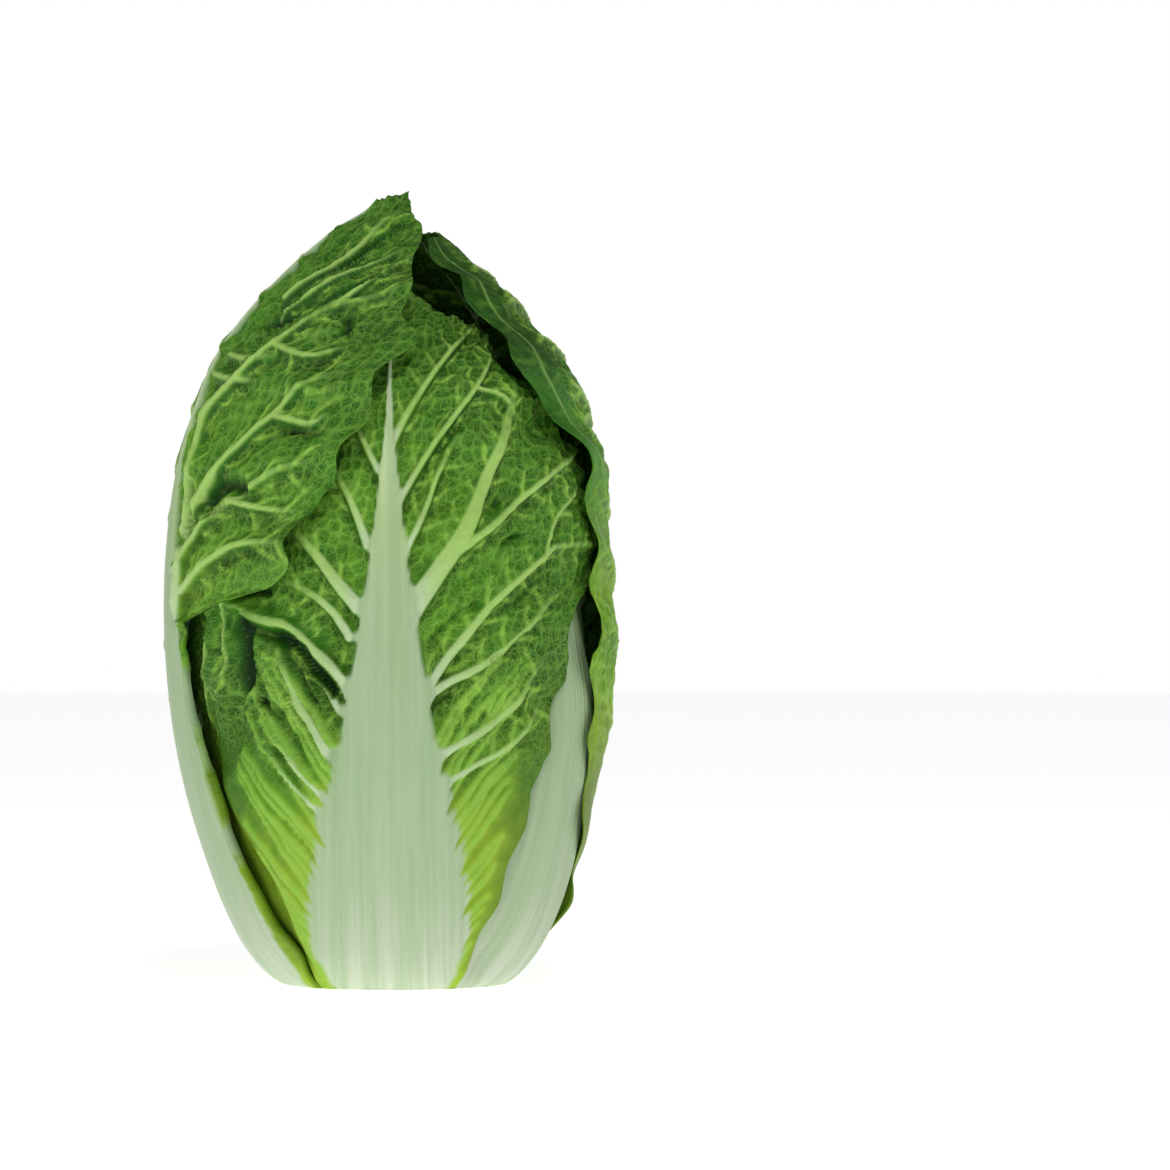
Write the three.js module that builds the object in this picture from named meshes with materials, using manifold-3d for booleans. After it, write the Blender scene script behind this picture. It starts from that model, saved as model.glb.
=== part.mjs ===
// A head of napa cabbage, whole, standing on its trimmed base. Millimetres, +Z up.
//
// The head grows round a vertical axis. Its side profile runs from the trimmed base, up the
// barrel and over the shoulder to a pointed tip, and every leaf lies on that profile swept round
// the axis, at a depth of its own. Five wrapper leaves stand round the stump about 72 degrees
// apart, each one 144 degrees on from the leaf outside it, so that leaves 0 and 1 overlap both
// neighbours, leaf 2 overlaps one of them and leaves 3 and 4 are tucked under both. Five inner
// leaves follow in the same order, and the tight heart fills the middle.
//
// Azimuth 0 is the front, towards -Y, and azimuth 90 the right, towards +X.

import * as THREE from 'three';
import { mergeVertices } from 'three/addons/utils/BufferGeometryUtils.js';
import Module from 'manifold-3d';

const wasm = await Module();
wasm.setup();

// Driving dimensions
const headWidth = 171;
const headDepth = 161;
const flattening = headDepth / headWidth;
const stumpRadius = 25.2;
const bladeThickness = 1.2;
const marginWaveLength = 36;
const marginLobeLength = 29;
const marginLobe = 0.03;      // how far the edge swings in and out, as a share of the blade's width
const sideVeins = 12;         // on each side of a midrib
const ribFlank = 1.35;        // how far a rib's rounded flank runs past its white edge
const latheSegments = 28;

// Half of the head's outline, [distance from the axis, height], from the stump to the tip.
const headProfile = [
  [26, 0], [42, 0], [54.5, 11], [64, 28], [72, 50], [78.5, 74], [83, 100], [85.5, 130],
  [85.5, 160], [82.5, 190], [77, 212], [68, 235], [56, 252], [40, 269], [25, 282], [13, 292], [8, 300],
];

// The same line for the inner leaves, and for the heart's core.
const innerProfile = [
  [23.6, 14.5], [34, 18], [45, 28], [52.5, 43], [58, 63], [61.5, 92], [62, 125], [61, 155],
  [57.5, 182], [51, 203], [41, 221], [29, 234], [18, 242], [9, 247],
];
const heartProfile = [
  [0, 35.5], [15, 35.8], [29, 41], [38, 53], [42, 75], [44, 105], [44, 140], [42, 165],
  [37, 186], [28, 203], [16, 214], [0, 218],
];

// A curve through [x, y] knots, each with the slope of the line between its neighbours.
function through(knots) {
  const slope = knots.map((_, i) => {
    const [x0, y0] = knots[Math.max(i - 1, 0)];
    const [x1, y1] = knots[Math.min(i + 1, knots.length - 1)];
    return (y1 - y0) / (x1 - x0);
  });
  return (x) => {
    if (x <= knots[0][0]) return knots[0][1];
    const i = knots.findIndex(([knot]) => knot >= x) - 1;
    if (i < 0) return knots[knots.length - 1][1];
    const [x0, y0] = knots[i];
    const [x1, y1] = knots[i + 1];
    const width = x1 - x0;
    const t = (x - x0) / width;
    const rise = t * t * (3 - 2 * t);
    return y0 + (y1 - y0) * rise
      + width * (slope[i] * t * (1 - t) ** 2 - slope[i + 1] * t * t * (1 - t));
  };
}

const smoothStep = (low, high, x) => THREE.MathUtils.smoothstep(x, low, high);

// Turns a profile into its radius, height and outward normal at a distance along it.
function alongProfile(points) {
  const along = [0];
  for (let i = 1; i < points.length; i++) {
    along.push(along[i - 1] + Math.hypot(points[i][0] - points[i - 1][0], points[i][1] - points[i - 1][1]));
  }
  const radius = through(points.map(([r], i) => [along[i], r]));
  const height = through(points.map(([, z], i) => [along[i], z]));
  const length = along[along.length - 1];
  const step = 1;
  const normal = (s) => {
    const low = Math.max(s - step, 0);
    const high = Math.min(s + step, length);
    const dr = radius(high) - radius(low);
    const dz = height(high) - height(low);
    const size = Math.hypot(dr, dz);
    return [dz / size, -dr / size];
  };
  return { radius, height, normal, length };
}

// The white midrib, by height: half its width in degrees round the head, its thickness, and how
// far it stands out of the blade.
const ribHalfAngle = through([
  [0, 32], [9, 31.5], [31, 26], [69, 17.5], [107, 12], [144, 7.5], [190, 3.8], [220, 2.4], [300, 1.6],
]);
const ribThickness = through([
  [0, 9], [31, 9], [69, 8], [107, 6.4], [144, 4.8], [190, 3.4], [240, 2.6], [300, 1.8],
]);
const ribBulge = through([[0, 0], [40, 0], [100, 1.6], [150, 2.2], [220, 1.4], [300, 0.3]]);

// Depth from one wrapper leaf to the next, by height, and where the low flanks are tucked in.
const wrapperGap = through([
  [0, 0], [35, 0.2], [75, 1.1], [105, 1.9], [130, 3.2], [155, 3.8], [200, 3.9], [240, 5], [300, 6],
]);
const innerGap = through([[0, 0], [45, 0.3], [80, 2], [120, 2.8], [250, 3]]);
const tuckShare = through([[0, 0], [2, 0.25], [6, 0.75], [12, 1], [80, 1], [105, 0.8], [135, 0], [300, 0]]);
const innerTuckShare = through([[0, 0], [19, 0.1], [32, 1], [80, 1], [120, 0], [300, 0]]);

// Columns crowd towards the midrib higher up, where it is slim.
const crowding = through([[0, 1], [60, 1.1], [140, 1.5], [300, 1.6]]);

// How far a side vein climbs from the midrib to the edge, by how far up the leaf it starts.
const veinClimb = through([
  [0, 0], [0.08, 5], [0.2, 17], [0.35, 30], [0.55, 37], [0.75, 30], [0.9, 13], [1, 0],
]);

// A leaf's two sides, left and right of its midrib as seen from outside. Each pair in a list is
// a height at the edge and a value there. margin is the angle from the midrib to the edge, and
// lift raises the edge. tuck sinks the low flank between two angles, by a depth, and its fourth
// number moves both angles out above the base. drop is how much shorter the side is than the
// middle at the top, and climb scales the side veins' climb.
const noLift = [[0, 0], [300, 0]];
const wrapperLeaves = [
  {
    name: 'wrapper_leaf_left', azimuth: -75, order: 0, top: 350,
    left: {
      margin: [
        [0, 35], [31, 39], [69, 44], [107, 52], [150, 66], [190, 80], [240, 94], [280, 100], [300, 100],
      ],
      tuck: [14, 32, 2], lift: [[0, 0], [80, 0], [160, 2.4], [300, 1.5]], drop: 30,
    },
    right: {
      margin: [
        [0, 34], [9, 34], [16, 32], [31, 26], [46, 21], [58, 18], [72, 16.6], [92, 13], [104, 10],
        [135, 10], [141, 14], [145, 30], [149, 43], [174, 56], [190, 61], [208, 65], [222, 72], [238, 80],
        [257, 84], [280, 95], [291, 110], [300, 135],
      ],
      tuck: [14, 32, 1], lift: [[0, 0], [135, 0], [155, 4.5], [230, 3.6], [285, 1.6], [300, 0]],
      drop: -3, climb: 0.3,
    },
  },
  {
    name: 'wrapper_leaf_right_back', azimuth: 142, order: 1, top: 338,
    left: {
      margin: [
        [0, 39], [5, 39], [20, 42], [32, 48], [42, 61], [54, 70], [88, 74], [107, 75], [160, 75], [190, 76],
        [201, 79], [212, 88], [231, 98], [246, 101], [257, 105], [270, 108], [280, 108], [300, 96],
      ],
      tuck: [14, 32, 1.2],
      lift: [
        [0, 0], [20, 2.2], [33, 4.6], [52, 4], [75, 2.6], [90, 1.4], [150, 1], [180, 2],
        [205, 5], [240, 5.4], [275, 3], [300, 1],
      ],
      drop: 8,
    },
    right: {
      margin: [[0, 35], [5, 35], [31, 38], [69, 43], [107, 50], [150, 64], [200, 84], [240, 95], [300, 96]],
      tuck: [14, 32, 1.5], lift: noLift, drop: 20,
    },
  },
  {
    name: 'wrapper_leaf_front', azimuth: 0, order: 2, top: 308,
    left: {
      margin: [
        [0, 38], [5, 38], [9, 42], [20, 51], [31, 58], [50, 64], [69, 68], [85, 78],
        [100, 84], [132, 84], [142, 74], [152, 63], [190, 62], [230, 56], [300, 40],
      ],
      tuck: [30, 46, 6.5, 22], drop: 22,
      lift: [[0, 0], [70, 0], [104, 2], [128, 2.5], [144, 0], [300, 0]],
    },
    right: {
      margin: [
        [0, 33], [9, 34], [31, 38], [69, 45], [107, 52], [125, 57], [143, 63],
        [156, 76], [190, 80], [215, 71], [240, 57], [300, 40],
      ],
      tuck: [14, 32, 2], drop: 26,
      lift: [
        [0, 0], [60, 0], [95, 1.4], [125, 0.6], [150, 0], [190, -1], [201, -3], [215, -6], [240, -9],
        [300, -6],
      ],
    },
  },
  {
    name: 'wrapper_leaf_left_back', azimuth: -146, order: 3, top: 292,
    left: {
      margin: [[0, 35], [5, 35], [31, 42], [69, 52], [107, 60], [150, 72], [200, 80], [240, 76], [300, 60]],
      tuck: [10, 26, 6.5], lift: noLift, drop: 26,
    },
    right: {
      margin: [[0, 35], [5, 35], [31, 42], [69, 50], [107, 58], [150, 70], [200, 78], [240, 74], [300, 60]],
      tuck: [10, 26, 6.5], lift: noLift, drop: 26,
    },
  },
  {
    name: 'wrapper_leaf_right', azimuth: 67, order: 4, top: 284,
    left: {
      margin: [
        [0, 32.5], [5, 32.5], [31, 36], [69, 42], [107, 50], [150, 62], [200, 72], [240, 66], [300, 50],
      ],
      tuck: [8, 26, 6.8], lift: [[0, 0], [175, 0], [201, -6], [215, -7], [240, -7], [300, -5]], drop: 24,
    },
    right: {
      margin: [
        [0, 34.5], [5, 34.5], [31, 37], [69, 43], [107, 52], [150, 64], [200, 74], [240, 66], [300, 50],
      ],
      tuck: [9, 23, 6.8], lift: noLift, drop: 24,
    },
  },
];

const innerMargin = [[0, 33], [20, 33], [45, 38], [80, 50], [130, 68], [180, 82], [250, 84]];
const innerLeafCount = 5;
const innerFirstAzimuth = -82;
const phyllotaxis = -144;
const innerLeafNames = ['left', 'right_back', 'front', 'left_back', 'right'];
const innerTopOfFirst = 258;
const innerTopStep = 5;
const innerTucks = [[0.6, 0.6], [0.6, 0.6], [5.5, 1.5], [6.5, 6.5], [7, 7]];
const innerLeaves = Array.from({ length: innerLeafCount }, (_, order) => {
  const [left, right] = innerTucks[order].map((depth) => (
    { margin: innerMargin, tuck: [8, 24, depth], lift: noLift, drop: 24 }
  ));
  const name = `inner_leaf_${innerLeafNames[order]}`;
  const azimuth = innerFirstAzimuth + phyllotaxis * order;
  return { name, azimuth, order, top: innerTopOfFirst - innerTopStep * order, ribScale: 0.85, left, right };
});

// The heart's leaves only show at the top, where their crinkled tips stand out of the core.
const heartLeafCount = 6;
const heartGoldenAngle = 137.5;
const heartLeaves = Array.from({ length: heartLeafCount }, (_, order) => {
  const margin = [[0, 40], [150, 46], [210, 58], [240, 66]];
  const side = { margin, tuck: [10, 20, 0], lift: noLift, drop: 12 };
  return { azimuth: 20 + heartGoldenAngle * order, order, top: 226 - 3 * order, left: side, right: side };
});
const heartTipRise = through([[0, -4], [120, -4], [150, -1.6], [190, 1.2], [205, 3.4], [240, 6]]);

// ridge, blister and wave are heights on the blade.
const whorls = {
  wrapper: {
    line: alongProfile(headProfile), gap: wrapperGap, tuckShare, start: 0, rows: 24, columns: 22,
    thickness: ribThickness, bulge: ribBulge, climb: 1, ridge: 2, blister: 0.8, wave: 0.6,
  },
  inner: {
    line: alongProfile(innerProfile), gap: innerGap, tuckShare: innerTuckShare,
    start: 0, rows: 12, columns: 12,
    thickness: (z) => 0.5 * ribThickness(z) + 0.4, bulge: () => 0,
    climb: 0.6, ridge: 0.3, blister: 0, wave: 0.25,
  },
  heart: {
    line: alongProfile(heartProfile), gap: () => 0.9, tuckShare: () => 0, start: 150, rows: 7, columns: 8,
    thickness: () => bladeThickness, bulge: () => 0, rise: heartTipRise,
    climb: 0, ridge: 0, blister: 0, wave: 0.4,
  },
};

// A point at a depth under the swept profile. The head is a little shallower than it is wide, and
// nothing reaches below the plane of the cut.
function place(line, azimuth, s, depth) {
  const [nr, nz] = line.normal(s);
  const r = line.radius(s) - depth * nr;
  const turn = THREE.MathUtils.degToRad(azimuth);
  return [r * Math.sin(turn), -r * Math.cos(turn) * flattening, Math.max(line.height(s) - depth * nz, 0)];
}

// One point of a leaf: u runs from -1 at its left edge to 1 at its right, v from base to top. A
// row of points, at one v, climbs from the midrib to the edge as the side veins do, so that every
// other row of a wrapper leaf carries a raised vein.
function leafPoint(leaf, whorl, u, v, isInside) {
  const { line, start } = whorl;
  const side = u < 0 ? leaf.leftCurves : leaf.rightCurves;
  const out = Math.abs(u);
  const climb = whorl.climb * side.climb * veinClimb(v);
  const atEdge = Math.min(start + (leaf.top - side.drop - start) * v + climb, line.length);
  const edgeHeight = line.height(atEdge);
  const onMidrib = start + (leaf.top - side.drop * out ** 2.4 - start) * v;
  const s = Math.min(onMidrib + climb * out ** 1.5, line.length);
  const z = line.height(s);
  const lobe = 1 + marginLobe * out ** 4 * Math.sin((2 * Math.PI * atEdge) / marginLobeLength + leaf.order);
  const angle = side.margin(edgeHeight) * lobe * out ** crowding(edgeHeight);
  const beyond = angle / (ribFlank * ribHalfAngle(z) * (leaf.ribScale ?? 1));
  const rib = Math.max(0, 1 - beyond ** 2);
  const [tuckFrom, tuckTo, tuckDepth, tuckShift = 0] = side.tuck;
  const pastTuck = smoothStep(tuckFrom, tuckTo, angle - tuckShift * smoothStep(25, 78, z));
  const turns = atEdge / marginWaveLength + 0.37 * leaf.order + (u < 0 ? 0.5 : 0);
  const wave = Math.sin(2 * Math.PI * turns);
  const onVein = 0.5 + 0.5 * Math.cos(2 * Math.PI * sideVeins * v);
  const blade = smoothStep(0.6, 1.3, beyond) * smoothStep(40, 100, z);
  const depth = leaf.order * whorl.gap(z)
    + whorl.tuckShare(z) * tuckDepth * pastTuck
    - whorl.bulge(z) * rib
    - side.lift(edgeHeight) * out ** 3 * (0.6 + 0.4 * wave)
    - whorl.wave * out ** 3 * wave * smoothStep(120, 170, z)
    - whorl.ridge * onVein * blade * (1 - 0.7 * out)
    - whorl.blister * (1 - onVein) * blade * Math.sin(17 * u)
    - (whorl.rise ? whorl.rise(z) : 0);
  const thickness = bladeThickness + (whorl.thickness(z) - bladeThickness) * rib ** 1.5;
  return place(line, leaf.azimuth + Math.sign(u) * angle, s, depth + (isInside ? thickness : 0));
}

// Closes a grid of outer and inner points into a shell. Both faces are split along one diagonal.
function leafGeometry(leaf, whorl) {
  for (const side of ['left', 'right']) {
    const { margin, tuck, lift, drop, climb = 1 } = leaf[side];
    leaf[`${side}Curves`] = { margin: through(margin), tuck, lift: through(lift), drop, climb };
  }
  const { rows, columns } = whorl;
  const positions = [];
  for (const isInside of [false, true]) {
    for (let row = 0; row <= rows; row++) {
      for (let column = 0; column <= columns; column++) {
        positions.push(...leafPoint(leaf, whorl, (2 * column) / columns - 1, row / rows, isInside));
      }
    }
  }
  const face = (rows + 1) * (columns + 1);
  const at = (row, column, inside = 0) => inside * face + row * (columns + 1) + column;
  const index = [];
  const quad = (a, b, c, d) => index.push(a, b, c, a, c, d);
  for (let row = 0; row < rows; row++) {
    for (let column = 0; column < columns; column++) {
      const corners = [[row, column], [row, column + 1], [row + 1, column + 1], [row + 1, column]];
      const [a, b, c, d] = corners.map(([r, q]) => at(r, q));
      const [e, f, g, h] = corners.map(([r, q]) => at(r, q, 1));
      quad(a, b, c, d);
      index.push(e, g, f, e, h, g);
    }
  }
  for (let column = 0; column < columns; column++) {
    quad(at(0, column + 1), at(0, column), at(0, column, 1), at(0, column + 1, 1));
    quad(at(rows, column), at(rows, column + 1), at(rows, column + 1, 1), at(rows, column, 1));
  }
  for (let row = 0; row < rows; row++) {
    quad(at(row + 1, columns), at(row, columns), at(row, columns, 1), at(row + 1, columns, 1));
    quad(at(row, 0), at(row + 1, 0), at(row + 1, 0, 1), at(row, 0, 1));
  }
  const geometry = new THREE.BufferGeometry();
  geometry.setAttribute('position', new THREE.Float32BufferAttribute(positions, 3));
  geometry.setIndex(index);
  geometry.computeVertexNormals();
  return geometry;
}

// A lathe turns about Y, so it is tipped up to stand on Z.
function turned(points) {
  const outline = points.map(([r, z]) => new THREE.Vector2(r, z));
  return new THREE.LatheGeometry(outline, latheSegments).rotateX(Math.PI / 2).scale(1, flattening, 1);
}

// Closed geometry to a solid and back, for the joins.
function toSolid(geometry) {
  const bare = geometry.clone();
  bare.deleteAttribute('normal');
  bare.deleteAttribute('uv');
  const merged = mergeVertices(bare, 1e-3);
  return new wasm.Manifold(new wasm.Mesh({
    numProp: 3,
    vertProperties: merged.attributes.position.array,
    triVerts: new Uint32Array(merged.index.array),
  }));
}

function fromSolid(solid) {
  const { vertProperties, triVerts } = solid.getMesh();
  const geometry = new THREE.BufferGeometry();
  geometry.setAttribute('position', new THREE.BufferAttribute(vertProperties, 3));
  geometry.setIndex(new THREE.BufferAttribute(triVerts, 1));
  geometry.computeVertexNormals();
  return geometry;
}

// The cut stem. Its sawn face is the part's origin plane, and it tapers to a dome inside the head.
function stumpGeometry() {
  return turned([
    [0, 0], [stumpRadius, 0], [stumpRadius, 8], [22.4, 12.5], [20.6, 20], [17, 28], [9, 33], [0, 34.5],
  ]);
}

// The tight heart: a core with the tips of its leaves sunk into it. The joins can close off a
// pocket, which is filled by keeping the outer skin alone.
function heartGeometry() {
  let heart = toSolid(turned(heartProfile));
  for (const leaf of heartLeaves) heart = heart.add(toSolid(leafGeometry(leaf, whorls.heart)));
  const [skin] = heart.decompose().sort((a, b) => b.volume() - a.volume());
  return fromSolid(skin);
}

const finish = (color, roughness) => new THREE.MeshStandardMaterial({ color, roughness, metalness: 0 });
const wrapperGreen = finish(0x5c9438, 0.5);
const innerGreen = finish(0xa4c45c, 0.5);
const heartYellow = finish(0xd6c866, 0.55);
const stemWhite = finish(0xe2e4cf, 0.6);

const napaCabbage = new THREE.Group();
function add(name, geometry, material) {
  const mesh = new THREE.Mesh(geometry, material);
  mesh.name = name;
  napaCabbage.add(mesh);
}

add('stump', stumpGeometry(), stemWhite);
add('heart', heartGeometry(), heartYellow);
for (const leaf of innerLeaves) add(leaf.name, leafGeometry(leaf, whorls.inner), innerGreen);
for (const leaf of wrapperLeaves) add(leaf.name, leafGeometry(leaf, whorls.wrapper), wrapperGreen);

export default napaCabbage;
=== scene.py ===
import math
import bpy
import numpy as np
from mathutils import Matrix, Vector


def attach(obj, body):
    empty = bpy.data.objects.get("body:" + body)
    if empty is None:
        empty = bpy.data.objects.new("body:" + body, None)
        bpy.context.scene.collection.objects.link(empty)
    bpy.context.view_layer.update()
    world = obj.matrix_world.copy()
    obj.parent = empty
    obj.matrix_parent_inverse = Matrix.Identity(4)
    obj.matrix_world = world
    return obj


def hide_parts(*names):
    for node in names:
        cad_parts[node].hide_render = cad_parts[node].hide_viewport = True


# A whole head of napa cabbage standing on its trimmed base. Every leaf lies on the head's side
# profile swept round the growth axis, at a depth of its own, as in the frame. Here each leaf is
# a fine sheet with raised veins, pits between them and ruffled edges. Sizes are in millimetres.

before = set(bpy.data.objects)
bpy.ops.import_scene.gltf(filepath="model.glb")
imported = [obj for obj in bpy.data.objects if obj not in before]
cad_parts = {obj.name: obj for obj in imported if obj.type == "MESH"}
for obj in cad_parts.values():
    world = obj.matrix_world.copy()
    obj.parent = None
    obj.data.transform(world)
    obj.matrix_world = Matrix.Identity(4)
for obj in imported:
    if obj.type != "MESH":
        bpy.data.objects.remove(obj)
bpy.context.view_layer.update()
mm = 0.001


# Curves, noise and cells

# A curve through [x, y] knots, each with the slope of the line between its neighbours.
def through(knots):
    xs, ys = np.array(knots, float).T
    last = len(xs) - 1
    back = np.maximum(np.arange(last + 1) - 1, 0)
    ahead = np.minimum(np.arange(last + 1) + 1, last)
    slope = (ys[ahead] - ys[back]) / (xs[ahead] - xs[back])

    def curve(x):
        x = np.clip(x, xs[0], xs[-1])
        i = np.clip(np.searchsorted(xs, x, side="right") - 1, 0, last - 1)
        width = xs[i + 1] - xs[i]
        t = (x - xs[i]) / width
        rise = t * t * (3 - 2 * t)
        bend = slope[i] * t * (1 - t) ** 2 - slope[i + 1] * t * t * (1 - t)
        return ys[i] + (ys[i + 1] - ys[i]) * rise + width * bend

    return curve


def ease(low, high, x):
    t = np.clip((x - low) / (high - low), 0, 1)
    return t * t * (3 - 2 * t)


# Smooth random hills from -1 to 1 over a flat place. size is the distance from hill to hill.
def hills(x, y, size, seed):
    table = np.random.default_rng(seed).uniform(-1, 1, (64, 64))
    px, py = x / size, y / size
    ix, iy = np.floor(px).astype(int), np.floor(py).astype(int)
    fx, fy = ease(0, 1, px - ix), ease(0, 1, py - iy)
    low = table[ix % 64, iy % 64] * (1 - fx) + table[(ix + 1) % 64, iy % 64] * fx
    high = table[ix % 64, (iy + 1) % 64] * (1 - fx) + table[(ix + 1) % 64, (iy + 1) % 64] * fx
    return low * (1 - fy) + high * fy


# The distance from each place to the wall of the cell that it is in. The cells are scattered
# round the squares of a grid, so they are as uneven as the net in a leaf.
def wallDistance(x, y, size, seed):
    table = np.random.default_rng(seed).uniform(0.12, 0.88, (64, 64, 2))
    px, py = x / size, y / size
    ix, iy = np.floor(px).astype(int), np.floor(py).astype(int)
    nearest = np.full(px.shape, 9.0)
    second = np.full(px.shape, 9.0)
    for dx in (-1, 0, 1):
        for dy in (-1, 0, 1):
            spot = table[(ix + dx) % 64, (iy + dy) % 64]
            distance = np.hypot(px - ix - dx - spot[..., 0], py - iy - dy - spot[..., 1])
            second = np.minimum(second, np.maximum(nearest, distance))
            nearest = np.minimum(nearest, distance)
    return (second - nearest) * size / 2


# The head's form, shared by all its leaves

head = {
    "width": 171, "depth": 161,
    "blade": 0.9,             # thickness of a blade between its veins
    "marginWaveLength": 36, "marginLobeLength": 29, "marginLobe": 0.03,
    "ribFlank": 1.35,         # how far a rib's rounded flank runs past its white edge
    "deepestTuck": 7,
    "profile": [
        [26, 0], [42, 0], [54.5, 11], [64, 28], [72, 50], [78.5, 74], [83, 100], [85.5, 130],
        [85.5, 160], [82.5, 190], [77, 212], [68, 235], [56, 252], [40, 269], [25, 282], [13, 292], [8, 300],
    ],
    "innerProfile": [
        [23.6, 14.5], [34, 18], [45, 28], [52.5, 43], [58, 63], [61.5, 92], [62, 125], [61, 155],
        [57.5, 182], [51, 203], [41, 221], [29, 234], [18, 242], [9, 247],
    ],
    "heartProfile": [
        [0, 35.5], [15, 35.8], [29, 41], [38, 53], [42, 75], [44, 105], [44, 140], [42, 165],
        [37, 186], [28, 203], [16, 214], [0, 218],
    ],
}
flattening = head["depth"] / head["width"]


# A side profile as a radius, a height and an outward normal at a distance along it.
class Profile:
    def __init__(self, points):
        points = np.array(points, float)
        along = np.concatenate(([0], np.cumsum(np.hypot(*np.diff(points, axis=0).T))))
        self.length = along[-1]
        self.radius = through(np.column_stack((along, points[:, 0])))
        self.height = through(np.column_stack((along, points[:, 1])))
        self.table = np.linspace(0, self.length, 800)

    def normal(self, s):
        low, high = np.maximum(s - 1, 0), np.minimum(s + 1, self.length)
        dr, dz = self.radius(high) - self.radius(low), self.height(high) - self.height(low)
        size = np.hypot(dr, dz)
        return dz / size, -dr / size

    def alongAt(self, height):
        return np.interp(height, np.maximum.accumulate(self.height(self.table)), self.table)


ribHalfAngle = through([
    [0, 32], [9, 31.5], [31, 26], [69, 17.5], [107, 12], [144, 7.3], [166, 5], [190, 3], [207, 1.5],
    [222, 0.9], [300, 0.7],
])
ribThickness = through([
    [0, 9], [31, 9], [69, 8], [107, 6.4], [144, 4.8], [190, 3.4], [240, 2.6], [300, 1.8],
])
ribBulge = through([[0, 0], [40, 0], [100, 1.6], [150, 2.2], [220, 1.4], [300, 0.3]])
wrapperGap = through([
    [0, 0], [35, 0.2], [75, 1.1], [105, 1.9], [130, 3.2], [155, 3.8], [200, 3.9], [240, 5], [300, 6],
])
innerGap = through([[0, 0], [45, 0.3], [80, 2], [120, 2.8], [250, 3]])
tuckShare = through([[0, 0], [2, 0.25], [6, 0.75], [12, 1], [80, 1], [105, 0.8], [135, 0], [300, 0]])
innerTuckShare = through([[0, 0], [19, 0.1], [32, 1], [80, 1], [120, 0], [300, 0]])
crowding = through([[0, 1], [60, 1.1], [140, 1.5], [300, 1.6]])
veinClimb = through([
    [0, 0], [0.08, 5], [0.2, 17], [0.35, 30], [0.55, 37], [0.75, 30], [0.9, 13], [1, 0],
])
heartTipRise = through([[0, -4], [120, -4], [150, -1.6], [190, 1.2], [205, 3.4], [240, 6]])
nothing = [[0, 0], [300, 0]]

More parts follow.
